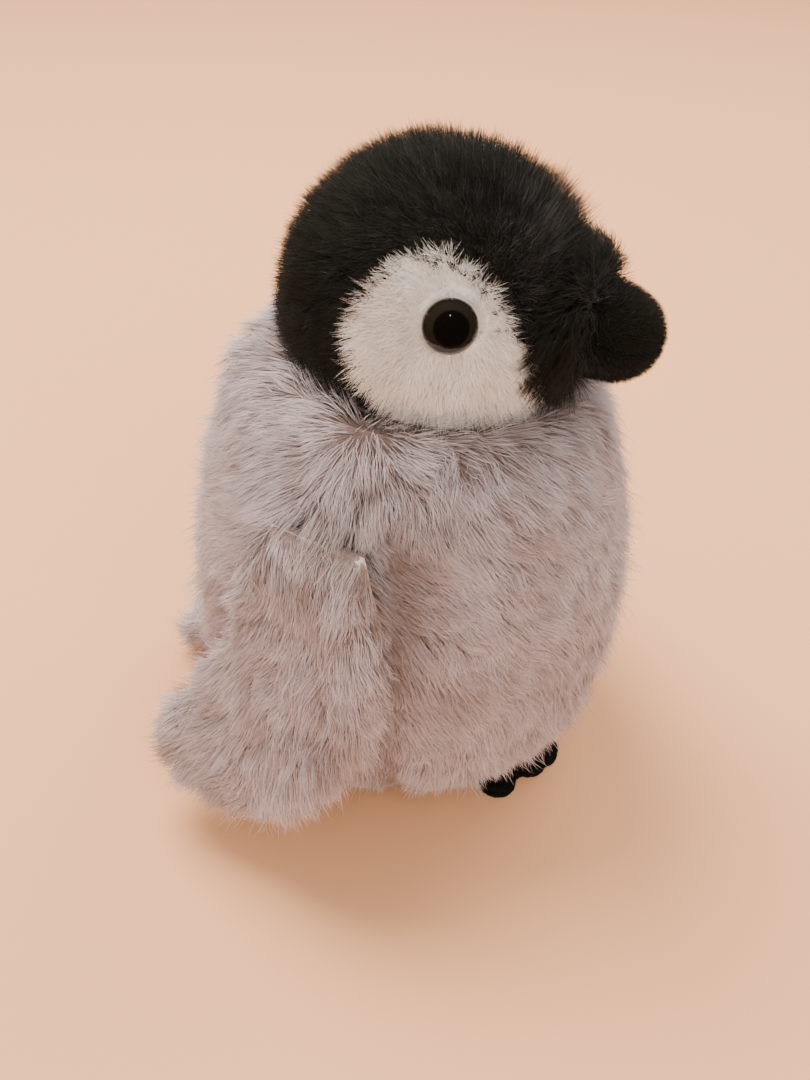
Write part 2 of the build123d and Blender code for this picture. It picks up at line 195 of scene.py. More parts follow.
def plain(name, colour, roughness=0.6, sheen=0.0, specular=0.3, coat=0.0):
    """A principled material whose values are all set on its own sockets."""
    material = bpy.data.materials.get(name) or bpy.data.materials.new(name)
    material.use_nodes = True
    set_inputs(material.node_tree.nodes["Principled BSDF"],
               {"Base Color": (*colour, 1), "Roughness": roughness, "Sheen Weight": sheen,
                "Sheen Roughness": 0.5, "Specular IOR Level": specular, "Coat Weight": coat})
    material.diffuse_color = (*colour, 1)
    return material


def cloth(name, dark, light, grain, bump, roughness=0.85, sheen=0.2, specular=0.15, weave=0.0):
    """Cloth, felt or fibre: two tones mottled by noise, with a fine bump and an optional weave."""
    material = plain(name, light, roughness, sheen, specular)
    tree = material.node_tree
    shader = tree.nodes["Principled BSDF"]
    place = tree.nodes.new("ShaderNodeTexCoord")
    mottle = tree.nodes.new("ShaderNodeTexNoise")
    set_inputs(mottle, {"Scale": 1 / grain, "Detail": 6, "Roughness": 0.65})
    ramp = colour_ramp(tree, ((0.32, dark), (0.68, light)))
    relief = tree.nodes.new("ShaderNodeBump")
    set_inputs(relief, {"Strength": 0.8, "Distance": bump})
    tree.links.new(place.outputs["Object"], mottle.inputs["Vector"])
    tree.links.new(mottle.outputs["Fac"], ramp.inputs["Fac"])
    tree.links.new(ramp.outputs["Color"], shader.inputs["Base Color"])
    tree.links.new(relief.outputs["Normal"], shader.inputs["Normal"])
    height = mottle.outputs["Fac"]
    if weave:
        for axis in "XY":
            wave = tree.nodes.new("ShaderNodeTexWave")
            wave.bands_direction = axis
            wave.wave_profile = "SIN"
            set_inputs(wave, {"Scale": 0.31 / weave, "Distortion": 0.6})
            blend = tree.nodes.new("ShaderNodeMath")
            blend.operation = "ADD"
            tree.links.new(place.outputs["Object"], wave.inputs["Vector"])
            tree.links.new(height, blend.inputs[0])
            tree.links.new(wave.outputs["Fac"], blend.inputs[1])
            height = blend.outputs["Value"]
    tree.links.new(height, relief.inputs["Height"])
    return material


def eye_material():
    """Glossy moulded plastic: a black pupil in a dark olive-brown ring, from the ring attribute."""
    material = plain("eye_gloss", (0.006, 0.005, 0.004), roughness=0.07, specular=0.5, coat=1.0)
    tree = material.node_tree
    shader = tree.nodes["Principled BSDF"]
    set_inputs(shader, {"Coat Roughness": 0.03})
    ring = tree.nodes.new("ShaderNodeAttribute")
    ring.attribute_name = "ring"
    black, brown, rim = (0.004, 0.0035, 0.003), colours().eye_ring, (0.007, 0.005, 0.003)
    ramp = colour_ramp(tree, ((0.60, black), (0.68, brown), (0.88, brown), (0.98, rim)))
    tree.links.new(ring.outputs["Fac"], ramp.inputs["Fac"])
    tree.links.new(ramp.outputs["Color"], shader.inputs["Base Color"])
    return material


def shade(colour, factor):
    """The same colour, lighter or darker."""
    return tuple(min(1.0, channel * factor) for channel in colour)


def pile_tones(name, root, tip, roughness, sheen, specular):
    """Seven plain materials for one pile: a root, two middles and four tips."""
    halfway = [(a + b * 1.4) / 2.4 for a, b in zip(root, tip)]
    warm = (tip[0] * 0.88, tip[1] * 0.80, tip[2] * 0.76)
    tones = [("root", root), ("middle_dark", shade(halfway, 0.84)), ("middle", halfway),
             ("tip_warm", warm), ("tip_soft", shade(tip, 0.92)), ("tip", tip),
             ("tip_pale", shade(tip, 1.10))]
    return [plain(f"{name}_{tone}", colour, roughness, sheen, specular) for tone, colour in tones]


def grey_tones():
    """The tones of the mauve-grey pile."""
    return pile_tones("grey_pile", colours().grey_root, colours().grey, 0.62, 0.35, 0.18)


def short_backing(name, root, tip):
    """The knitted ground under short pile."""
    return cloth(name, root, tip, 2 * MM, 0.3 * MM)


def grey_backing(name):
    """The knitted ground under the mauve-grey pile, mottled darker and lighter than its roots."""
    root = colours().grey_root
    return cloth(name, shade(root, 0.8), shade(root, 1.35), 3 * MM, 0.4 * MM)


# --- meshes
def linked(name, data):
    """A new object in the scene."""
    made = bpy.data.objects.new(name, data)
    bpy.context.scene.collection.objects.link(made)
    return made


def assign(item, **values):
    """Set several properties of one item."""
    for key, value in values.items():
        setattr(item, key, value)


def add_object(name, mesh, body, materials):
    """Link a finished mesh, give it its materials and let it ride on its body."""
    piece = linked(name, mesh)
    for material in materials:
        mesh.materials.append(material)
    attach(piece, body)
    return piece


def joined_copy(names):
    """One bmesh holding merged copies of several CAD nodes."""
    made = bmesh.new()
    for name in names:
        made.from_mesh(NODES[name].data)
    bmesh.ops.remove_doubles(made, verts=made.verts, dist=0.002 * MM)
    return made


def surface_tree(*names):
    """A search tree over the surface of one or more CAD nodes."""
    solid = joined_copy(names)
    tree = BVHTree.FromBMesh(solid)
    solid.free()
    return tree


def remeshed(name, nodes, voxel):
    """Merged copies of CAD nodes with an even grid of faces."""
    solid = joined_copy(nodes)
    mesh = bpy.data.meshes.new(name)
    solid.to_mesh(mesh)
    solid.free()
    return with_modifier(mesh, "REMESH", mode="VOXEL", voxel_size=voxel, use_smooth_shade=True)


def with_modifier(mesh, kind, **values):
    """The mesh after one modifier, as a new mesh."""
    carrier = linked("carrier", mesh)
    assign(carrier.modifiers.new("work", kind), **values)
    graph = bpy.context.evaluated_depsgraph_get()
    made = bpy.data.meshes.new_from_object(carrier.evaluated_get(graph))
    bpy.data.objects.remove(carrier)
    return made


def fetch(items, name, kind=np.float32, width=3):
    """One property of every item in a mesh's list, as an array."""
    values = np.empty(len(items) * width, kind)
    items.foreach_get(name, values)
    return values.reshape(-1, width) if width > 1 else values


def coordinates(mesh):
    """A mesh's points as an array."""
    return fetch(mesh.vertices, "co").astype(float)


def vertex_normals(mesh):
    """A mesh's vertex normals as an array."""
    return fetch(mesh.vertices, "normal").astype(float)


def set_coordinates(mesh, points):
    """Move a mesh's points."""
    mesh.vertices.foreach_set("co", np.ascontiguousarray(points, np.float32).ravel())
    mesh.update()


def swell(mesh, cap, pressure=4.0):
    """Inflate a closed mesh by cloth simulation, moving no point further than cap."""
    carrier = linked("swell", mesh)
    scene = bpy.context.scene
    cloth_modifier = carrier.modifiers.new("cloth", "CLOTH")
    assign(cloth_modifier.settings, quality=6, mass=0.2, tension_stiffness=12,
           compression_stiffness=12, shear_stiffness=4, bending_stiffness=0.4, use_pressure=True,
           uniform_pressure_force=pressure)
    cloth_modifier.settings.effector_weights.gravity = 0
    assign(cloth_modifier.point_cache, frame_start=1, frame_end=CLOTH_FRAMES)
    for number in range(1, CLOTH_FRAMES + 1):
        scene.frame_set(number)
    graph = bpy.context.evaluated_depsgraph_get()
    swollen = bpy.data.meshes.new_from_object(carrier.evaluated_get(graph))
    scene.frame_set(1)
    start = coordinates(mesh)
    moved = coordinates(swollen) - start
    reach = np.linalg.norm(moved, axis=1, keepdims=True)
    moved *= np.minimum(1.0, cap / np.maximum(reach, 1e-9))
    bpy.data.objects.remove(carrier)
    set_coordinates(mesh, start + moved)
    return mesh


def hold(mesh, tree, low, high):
    """Keep every point between two heights over a CAD surface."""
    points = coordinates(mesh)
    for index, point in enumerate(points):
        near, normal, _, _ = tree.find_nearest(Vector(point))
        height = (Vector(point) - near).dot(normal)
        if not low <= height <= high:
            points[index] = near + normal * min(max(height, low), high)
    set_coordinates(mesh, points)


def padded_skin(name, nodes, body, material, voxel, shrink, cap, cloth_thickness,
                replaced=None, after=None):
    """A stuffed skin: CAD copies remeshed, drawn in, swollen by cloth simulation and smoothed once."""
    mesh = remeshed(name, nodes, voxel)
    set_coordinates(mesh, coordinates(mesh) - vertex_normals(mesh) * shrink)
    swell(mesh, cap)
    mesh = with_modifier(mesh, "SUBSURF", levels=1, render_levels=1)
    hold(mesh, surface_tree(*nodes), -0.5 * cloth_thickness, 0.3 * MM)
    mesh.shade_smooth()
    if after:
        after(mesh)
    mesh.name = name
    piece = add_object(name, mesh, body, [material])
    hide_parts(*(replaced or nodes))
    return piece


# --- pile
def unit(vectors):
    """Each vector at length one."""
    return vectors / np.maximum(np.linalg.norm(vectors, axis=-1, keepdims=True), 1e-12)


def fall(gap, width):
    """1 where there is no gap, fading to 0 a few widths away."""
    return np.exp(-(gap / width) ** 2)


def rise(values, low, high):
    """0 up to low, 1 from high on, and straight between them."""
    return np.clip((values - low) / (high - low), 0, 1)


def wobble(points, wavelength, seed):
    """Seeded smooth noise, about -1 to 1, made of a few sine waves."""
    chance = np.random.default_rng(seed)
    total = np.zeros(len(points))
    for _ in range(7):
        way = unit(chance.normal(size=3))
        rate = 2 * np.pi / wavelength * chance.uniform(0.6, 1.5)
        total += np.sin(points @ way * rate + chance.uniform(0, 2 * np.pi))
    return total / 2.6


def scatter(skin, faces, density, chance):
    """Random points spread evenly over chosen faces of a mesh, with their smooth normals."""
    mesh = skin.data
    mesh.calc_loop_triangles()
    owners = fetch(mesh.loop_triangles, "polygon_index", np.int32, 1)
    corners = fetch(mesh.loop_triangles, "vertices", np.int32)[faces[owners]]
    points, normals = coordinates(mesh), vertex_normals(mesh)
    a, b, c = (points[corners[:, column]] for column in range(3))
    areas = np.linalg.norm(np.cross(b - a, c - a), axis=1) / 2
    count = int(areas.sum() * density * 1e4)
    chosen = chance.choice(len(areas), size=count, p=areas / areas.sum())
    u, v = chance.random(count), chance.random(count)
    flip = u + v > 1
    u[flip], v[flip] = 1 - u[flip], 1 - v[flip]
    weights = np.stack([1 - u - v, u, v], 1)[:, :, None]
    roots = (points[corners[chosen]] * weights).sum(1)
    return roots, unit((normals[corners[chosen]] * weights).sum(1))


def face_centres(skin):
    """Centres of a skin's faces."""
    return fetch(skin.data.polygons, "center").astype(float)


def nearest_panels(skin, names):
    """Which CAD panel each face of a skin lies on, as an index into names."""
    trees = [surface_tree(name) for name in names]
    return np.array([min(range(len(trees)), key=lambda index: trees[index].find_nearest(spot)[3])
                     for spot in map(Vector, face_centres(skin))])


def tangent(ways, normals):
    """The part of each direction that lies along the surface."""
    return unit(ways - normals * (ways * normals).sum(1, keepdims=True))


def strand_paths(roots, normals, combs, lengths, lift, droop, curl, steps):
    """Points along each strand: it leaves the cloth at lift and lies down to droop, in radians."""
    paths = [roots]
    for start, end in zip(steps[:-1], steps[1:]):
        along = (start + end) / 2
        angle = (lift + (droop - lift) * along ** 0.7)[:, None]
        turn = (curl * along)[:, None]
        across = np.cross(normals, combs)
        way = combs * np.cos(turn) + across * np.sin(turn)
        step = way * np.cos(angle) + normals * np.sin(angle)
        paths.append(paths[-1] + step * (lengths * (end - start))[:, None])
    return np.stack(paths, 1)


def ribbons(name, paths, normals, width, roll, tones, softness):
    """Tapered ribbons along the paths, with their faces set directly for want of an operator."""
    count, rows = len(paths), paths.shape[1] - 1
    ways = unit(np.diff(paths, axis=1))
    across = unit(np.cross(ways, normals[:, None, :]))
    up = np.cross(across, ways)
    across = across * np.cos(roll)[:, None, None] + up * np.sin(roll)[:, None, None]
    taper = np.linspace(1.0, 0.6, rows)
    half = across * (width[:, None] * taper / 2)[:, :, None]
    points = np.empty((count, 2 * rows + 1, 3))
    points[:, 0:-1:2] = paths[:, :-1] - half
    points[:, 1:-1:2] = paths[:, :-1] + half
    points[:, -1] = paths[:, -1]
    quads = [[2 * row, 2 * row + 1, 2 * row + 3, 2 * row + 2] for row in range(rows - 1)]
    pattern = np.array(sum(quads, []) + [2 * rows - 2, 2 * rows - 1, 2 * rows])
    loops = (np.arange(count)[:, None] * (2 * rows + 1) + pattern).ravel()
    starts = (np.arange(count)[:, None] * len(pattern) + 4 * np.arange(rows)).ravel()
    mesh = bpy.data.meshes.new(name)
    mesh.vertices.add(count * (2 * rows + 1))
    mesh.vertices.foreach_set("co", points.astype(np.float32).ravel())
    mesh.loops.add(len(loops))
    mesh.loops.foreach_set("vertex_index", loops.astype(np.int32))
    mesh.polygons.add(count * rows)
    mesh.polygons.foreach_set("loop_start", starts.astype(np.int32))
    mesh.polygons.foreach_set("material_index", tones.astype(np.int32).ravel())
    mesh.update(calc_edges=True)
    mesh.shade_smooth()
    own = vertex_normals(mesh).reshape(count, -1, 3)
    even = unit(own * (1 - softness) + normals[:, None, :] * softness)
    mesh.normals_split_custom_set_from_vertices(even.reshape(-1, 3).astype(np.float32))
    return mesh


LONG_STEPS = (0.0, 0.34, 0.68, 1.0)
SHORT_STEPS = (0.0, 0.5, 1.0)


def grow(name, skin, faces, comb, length, tones, slot, density, width=0.22 * MM, lift=(0.95, 0.22),
         spread=0.20, flow=0.35, clump=3.0 * MM, gather=0.5, curl=0.4, seed=1, floor=0.35 * MM,
         steps=LONG_STEPS, softness=0.65, keep=None, hollow=None, raised=None, wild=0.0):
    """Grow combed, clumped pile on chosen faces of a skin.

    comb gives directions, keep picks roots, hollow paints shade by darkening the tones, raised lifts,
    wild is the share of strays.
    """
    chance = np.random.default_rng(seed)
    roots, normals = scatter(skin, faces, density, chance)
    if keep:
        kept = keep(roots, normals)
        roots, normals = roots[kept], normals[kept]
    count = len(roots)
    steps = np.array(steps)
    combs = tangent(comb(roots, normals), normals)
    swing = flow * wobble(roots, 34 * MM, seed) + 0.45 * flow * wobble(roots, 11 * MM, seed + 1)
    across = np.cross(normals, combs)
    combs = combs * np.cos(swing)[:, None] + across * np.sin(swing)[:, None]
    lengths = length(roots, normals) if callable(length) else np.full(count, length)
    lengths = lengths * (1 + 0.10 * wobble(roots, 9 * MM, seed + 2))
    stand = raised(roots) if raised else np.zeros(count)
    clumps = max(1, int(count / (density * 1e4 * clump ** 2)))
    leaders = chance.choice(count, size=clumps, replace=False)
    tree = KDTree(len(leaders))
    for index, leader in enumerate(leaders):
        tree.insert(roots[leader], index)
    tree.balance()
    nearest = np.array([tree.find(root)[1] for root in roots])

    def paths_of(chosen, looseness):
        """Paths of the chosen strands before they clump."""
        amount = len(chosen)
        jitter = chance.normal(0, spread * looseness, amount)
        side = np.cross(normals[chosen], combs[chosen])
        ways = combs[chosen] * np.cos(jitter)[:, None] + side * np.sin(jitter)[:, None]
        start = stand[chosen] + lift[0] + chance.normal(0, 0.16, amount)
        end = stand[chosen] + lift[1] + chance.normal(0, 0.13, amount)
        reach = lengths[chosen] * chance.uniform(0.78, 1.08, amount)
        stray = chance.random(amount) < wild
        return strand_paths(roots[chosen], normals[chosen], ways, reach * np.where(stray, 1.25, 1.0),
                            start + stray * 0.30, end + stray * 0.45,
                            chance.normal(0, curl, amount), steps)

    lead = paths_of(leaders, 1.4)
    paths = paths_of(np.arange(count), 1.0)
    pull = (gather * chance.uniform(0.4, 1.1, len(leaders)))[nearest]
    share = (steps ** 1.25)[None, :, None] * np.clip(pull, 0, 0.95)[:, None, None]
    offset = (paths[:, :1] - lead[nearest][:, :1]) * 0.40
    paths = paths + share * (lead[nearest] + offset - paths)
    paths[:, :, 2] = np.maximum(paths[:, :, 2], floor)
    patches = wobble(roots, 24 * MM, 4) * 0.75 + wobble(roots, 9 * MM, 3) * 0.45
    mood = patches + chance.normal(0, 0.55, count) + 0.35 * chance.normal(size=len(leaders))[nearest]
    # painted shade: hollow lowers the tone where shade falls in creases and folds; the lowest strands
    # take the darkest middles and the roots
    if hollow:
        mood = mood - hollow(roots, normals)
    deep = mood < -1.7
    tips = np.where(deep, 1, 3 + np.digitize(mood, [-0.75, -0.05, 0.85]))
    middles = np.where(deep, 0, 1 + (mood > -0.3))
    columns = [np.zeros(count, int), middles, tips] if len(steps) > 3 else [middles, tips]
    widths = width * chance.uniform(0.7, 1.25, count)
    mesh = ribbons(name, paths, normals, widths, chance.normal(0, 0.35, count), np.stack(columns, 1),
                   softness)
    return add_object(name, mesh, skin["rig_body"], tones)


# --- skins
def keep_clear(mesh):
    """Hold the body's skin off the floor and out of the cup that the head turns in."""
    points = coordinates(mesh)
    points[:, 2] = np.maximum(points[:, 2], 0.35 * MM)
    centre = np.array(HEAD_CENTRE)
    offset = points - centre
    reach = np.linalg.norm(offset, axis=1, keepdims=True)
    limit = HEAD_RADIUS + 1.2 * MM
    points = np.where(reach < limit, centre + offset / reach * limit, points)
    set_coordinates(mesh, points)


class PENGUIN_OT_inner_parts(bpy.types.Operator):
    """Give the carried-over inner pieces their materials"""
    bl_idname = "penguin.inner_parts"
    bl_label = "Inner parts"

    def execute(self, context):
        fill = cloth("fibre_fill", (0.78, 0.77, 0.74), (0.95, 0.95, 0.93), 3 * MM, 0.6 * MM)
        cotton = cloth("bag_cotton", (0.74, 0.71, 0.66), (0.88, 0.86, 0.81), 4 * MM, 0.1 * MM,
                       weave=0.5 * MM)
        backing = cloth("base_cloth", (0.26, 0.215, 0.21), (0.42, 0.36, 0.355), 1.2 * MM, 0.25 * MM,
                        weave=0.8 * MM)
        washer = cloth("washer_plastic", (0.74, 0.74, 0.71), (0.84, 0.84, 0.81), 6 * MM, 0.02 * MM,
                       roughness=0.4, sheen=0.0, specular=0.5)
        pellet = cloth("pellet_plastic", (0.62, 0.62, 0.60), (0.82, 0.82, 0.80), 2 * MM, 0.8 * MM,
                       roughness=0.35, sheen=0.0, specular=0.5)
        felt = cloth("stiffener_felt", (0.05, 0.05, 0.05), (0.14, 0.14, 0.14), 1 * MM, 0.1 * MM)
        thread = cloth("thread_cord", (0.05, 0.04, 0.04), (0.10, 0.08, 0.08), 0.4 * MM, 0.05 * MM)
        grey_fill = cloth("grey_fill", (0.12, 0.09, 0.085), (0.26, 0.21, 0.20), 3 * MM, 0.6 * MM)
        black_fill = cloth("black_fill", (0.006, 0.006, 0.005), (0.014, 0.013, 0.011), 3 * MM, 0.6 * MM)
        chosen = {"neck_stuffing": grey_fill, "body_stuffing": grey_fill, "beak_stuffing": black_fill,
                  "pellet_bag": cotton, "pellets": pellet, "body_base_panel": backing,
                  "closing_stitches": thread, "neck_thread": thread}
        kinds = {"stuffing": fill, "wadding": fill, "washer": washer, "stiffener": felt}
        for name, node in NODES.items():
            by_kind = next((kinds[kind] for kind in kinds if kind in name), None)
            material = chosen.get(name, by_kind)
            if material:
                node.data.materials.clear()
                node.data.materials.append(material)
        return {"FINISHED"}


class PENGUIN_OT_body(bpy.types.Operator):
    """Sew and stuff the body, and comb its long pile"""
    bl_idname = "penguin.body"
    bl_label = "Body"

    def execute(self, context):
        backing = grey_backing("grey_backing")
        panels = ["body_front_panel", "body_back_panel_right", "body_back_panel_left"]
        inside = ["body_base_panel", "body_stuffing", "pellet_bag", "pellets", "neck_stuffing"]
        skin = padded_skin("body_skin", panels + inside, "body", backing, voxel=3.5 * MM,
                           shrink=1.0 * MM, cap=2.4 * MM, cloth_thickness=2.5 * MM,
                           replaced=panels, after=keep_clear)
        shoulder = SHOULDERS["right"]
        parting_y, parting_z = shoulder.y - 4 * MM, shoulder.z - 5 * MM
        flipper_edge = shoulder.y - 14 * MM
        flipper_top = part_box("flipper_outer_right")[1].z

        def from_head(roots):
            return np.linalg.norm(roots - np.array(HEAD_CENTRE), axis=1) - HEAD_RADIUS

        def over_flipper(roots):
            """How much each root's pile hangs over the top of a flipper."""
            return (0.55 * fall(roots[:, 1] - shoulder.y, 17 * MM)
                    * fall(roots[:, 2] - flipper_top - 4 * MM, 7 * MM))

        def beside_edge(roots):
            """How close each root lies to the hollow along a flipper's front edge, 0 to 1."""
            edge = roots[:, 1] - flipper_edge + 0.06 * (shoulder.z - roots[:, 2])
            below = 1 - rise(roots[:, 2], shoulder.z - 2 * MM, shoulder.z + 8 * MM)
            return below * fall(edge, 4.5 * MM)

        def outside(roots, normals):
            clear_of_base = (roots[:, 2] > 5 * MM) | (normals[:, 2] > -0.6)
            return (from_head(roots) > 1.3 * MM) & clear_of_base

        def comb(roots, normals):
            """Down, away from the parting at each shoulder, and over the seam at the back."""
            away = np.tanh((roots[:, 1] - parting_y) / (9 * MM))
            reach = np.hypot(roots[:, 1] - parting_y, roots[:, 2] - parting_z)
            sweep = away * (0.30 + 1.9 * fall(reach, 46 * MM))
            low = np.clip(roots[:, 2] / (60 * MM), 0.25, 1) * (1 - 1.5 * over_flipper(roots))
            by_seam = (1 - rise(np.abs(roots[:, 0]), 0, 4 * MM)) * (roots[:, 1] > 0)
            over_seam = -0.7 * np.sign(roots[:, 0]) * by_seam
            return np.stack([over_seam, sweep * low, -np.ones(len(roots))], 1)

        def length(roots, normals):
            near_base = rise(roots[:, 2], 3 * MM, 29 * MM)
            over_feet = rise(-roots[:, 1], 9 * MM, 39 * MM)
            short = (1 - near_base) * (0.62 + 0.26 * over_feet)
            by_foot = (1 - rise(roots[:, 2], 0, 16 * MM)) * rise(-roots[:, 1], 18 * MM, 30 * MM)
            rim = rise(from_head(roots), 0, 7 * MM)
            full = pile().body_length * (1 - short) * (1 - 0.5 * by_foot) * (0.70 + 0.30 * rim)
            return full * (1 + 0.5 * over_flipper(roots)) * (1 - 0.5 * beside_edge(roots))

        def raise_pile(roots):
            """Extra lift over the top of each flipper and round the collar, in radians."""
            return over_flipper(roots) + 0.75 * fall(from_head(roots), 5 * MM)

        def shade_beside_flippers(roots, normals):
            """Painted shade: darker tones where shade falls in the hollow along the flippers' front
            edges and round the collar.
            """
            return 2.8 * beside_edge(roots) + 0.8 * fall(from_head(roots), 5 * MM)

        tones = grey_tones()
        panel = nearest_panels(skin, panels)
        spots = face_centres(skin)
        regions = (("pile_front_panel_right", 0, -1), ("pile_front_panel_left", 0, 1),
                   ("pile_back_panel_right", 1, -1), ("pile_back_panel_left", 2, 1))
        for number, (name, wanted, sign) in enumerate(regions):
            chosen = (panel == wanted) & (spots[:, 0] * sign > 0)
            grow(name, skin, chosen, comb, length, tones, "grey_pile", pile().strands, gather=0.6,
                 wild=0.04, seed=20 + number * 10, keep=outside, hollow=shade_beside_flippers,
                 raised=raise_pile)
        return {"FINISHED"}


HEAD_PANELS = ["crown_gusset", *(f"{piece}_{side}" for piece in ("head_side_panel", "cheek_patch")
                                 for side in SIDES), "chin_panel"]
FIRST_WHITE = HEAD_PANELS.index("cheek_patch_right")


def join_white(skin, panel):
    """Let the white pile of the cheeks and the chin close over the narrow strips between them."""
    trees = [surface_tree(name) for name in HEAD_PANELS[FIRST_WHITE:]]
    gaps = np.array([[tree.find_nearest(spot)[3] for tree in trees]
                     for spot in map(Vector, face_centres(skin))])
    between = (panel < FIRST_WHITE) & (gaps[:, :2].min(1) + gaps[:, 2] < 13 * MM)
    return np.where(between, FIRST_WHITE + gaps[:, :2].argmin(1), panel)


class PENGUIN_OT_head(bpy.types.Operator):
    """Sew and stuff the head, with its black pile and white cheeks"""
    bl_idname = "penguin.head"
    bl_label = "Head"

    def execute(self, context):
        tint_of = colours()
        dark = short_backing("black_backing", tint_of.black_root, tint_of.black)
        white = short_backing("white_backing", tint_of.white_root, tint_of.white)
        skin = padded_skin("head_skin", HEAD_PANELS + ["head_stuffing"], "head", dark,
                           voxel=3.0 * MM, shrink=0.8 * MM, cap=1.6 * MM, cloth_thickness=2.0 * MM,
                           replaced=HEAD_PANELS)
        skin.data.materials.append(white)
        panel = join_white(skin, nearest_panels(skin, HEAD_PANELS))
        skin.data.polygons.foreach_set("material_index", (panel >= FIRST_WHITE).astype(np.int32))
        centre = np.array(HEAD_CENTRE)
        eyes = [np.array(middle(f"eye_{side}")) for side in SIDES]
        muzzle = np.array(middle("muzzle_collar"))
        eye_radius = (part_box("eye_left")[1].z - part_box("eye_left")[0].z) / 2

        def from_eye(roots):
            """Each root's distance across the cloth from the nearer eye, and its direction."""
            offsets = np.stack([roots - (centre + unit(spot - centre) * HEAD_RADIUS) for spot in eyes])
            reach = np.linalg.norm(offsets, axis=2)
            near = reach.argmin(0)
            return reach[near, np.arange(len(roots))], unit(offsets[near, np.arange(len(roots))])

        def kept(roots, normals):
            clear_of_neck = roots[:, 2] > HEAD_CENTRE.z - 0.86 * HEAD_RADIUS
            return clear_of_neck & (from_eye(roots)[0] > eye_radius - 0.4 * MM)

        def back(roots, normals):
            """Away from the beak, and a little down."""
            return unit(roots - muzzle) * 0.8 + np.array((0, 0.25, -0.25))

        def outwards(roots, normals):
            """Over the eye's rim next to it, and away from the eye and down elsewhere."""
            reach, away = from_eye(roots)
            over_rim = np.where(reach < eye_radius + 1.4 * MM, -0.8, 1.0)[:, None]
            fade = fall(reach - eye_radius, 6 * MM)[:, None]
            return away * over_rim * (0.65 + 0.3 * fade) + np.array((0, 0.20, -0.35)) * (1 - fade)

        def cheek_length(roots, normals):
            far = rise(from_eye(roots)[0], eye_radius, eye_radius + 5 * MM)
            return pile().cheek_length * (0.70 + 0.30 * far)

        def head_length(roots, normals):
            height = roots[:, 2] - HEAD_CENTRE.z
            crown = rise(height, 0.75 * HEAD_RADIUS, HEAD_RADIUS)
            brow = (fall(roots[:, 0], 19 * MM) * fall(roots[:, 1] + 30 * MM, 10 * MM)
                    * fall(roots[:, 2] - 161 * MM, 10 * MM))
            collar = 1 - rise(height, -22 * MM, -10 * MM)
            return pile().head_length * (1 + 0.30 * crown + 1.1 * brow + 0.35 * collar)

        short = {"width": 0.18 * MM, "clump": 1.9 * MM, "curl": 0.35, "steps": SHORT_STEPS,
                 "keep": kept, "wild": 0.10}
        tones = pile_tones("black_pile", tint_of.black_root, tint_of.black, 0.6, 0.15, 0.25)
        for number, name in enumerate(("crown_gusset", "head_side_right", "head_side_left")):
            grow(f"pile_{name}", skin, panel == number, back, head_length, tones, "black_pile",
                 pile().strands * 1.5, lift=(1.25, 0.80), seed=60 + number * 10, gather=0.45,
                 spread=0.7, softness=0.3, **short)
        tones = pile_tones("white_pile", tint_of.white_root, tint_of.white, 0.6, 0.3, 0.2)
        for number, name in enumerate(("cheek_right", "cheek_left", "chin")):
            grow(f"pile_{name}", skin, panel == number + FIRST_WHITE, outwards, cheek_length, tones,
                 "white_pile", pile().strands * 2.1, lift=(1.20, 0.62), seed=100 + number * 10,
                 gather=0.22, spread=0.7, **short)
        return {"FINISHED"}


class PENGUIN_OT_muzzle(bpy.types.Operator):
    """Make the fluffy black collar round the beak"""
    bl_idname = "penguin.muzzle"
    bl_label = "Muzzle"

    def execute(self, context):
        tint_of = colours()
        dark = short_backing("black_backing_muzzle", tint_of.black_root, tint_of.black)
        skin = padded_skin("muzzle_skin", ["muzzle_collar"], "head", dark, voxel=1.4 * MM,
                           shrink=0.4 * MM, cap=0.9 * MM, cloth_thickness=1.2 * MM)
        root = np.array(middle("muzzle_collar"))
        axis = unit(np.array(middle("beak_stuffing")) - root)
        tones = pile_tones("muzzle_pile", tint_of.black_root, shade(tint_of.black, 0.95), 0.65,
                           0.10, 0.2)

        def radial(roots):
            offset = roots - root
            return unit(offset - axis * (offset @ axis)[:, None])

        def drooping(roots, normals):
            return radial(roots) * 1.0 + np.array((0, 0.15, -0.40))

        def length(roots, normals):
            across = radial(roots)
            fringe = np.clip(-across[:, 2], 0, 1) ** 1.5
            return pile().muzzle_length * (0.55 + 0.60 * fringe ** 2 + 0.75 * np.abs(across[:, 0]) ** 3)

        grow("pile_muzzle", skin, np.ones(len(skin.data.polygons), bool), drooping, length, tones,
             "black_pile", pile().strands * 1.9, width=0.20 * MM, lift=(0.95, 0.20), clump=2.4 * MM,
             gather=0.5, softness=0.3, wild=0.10, seed=150,
             keep=lambda roots, normals: normals @ axis > -0.35)
        return {"FINISHED"}


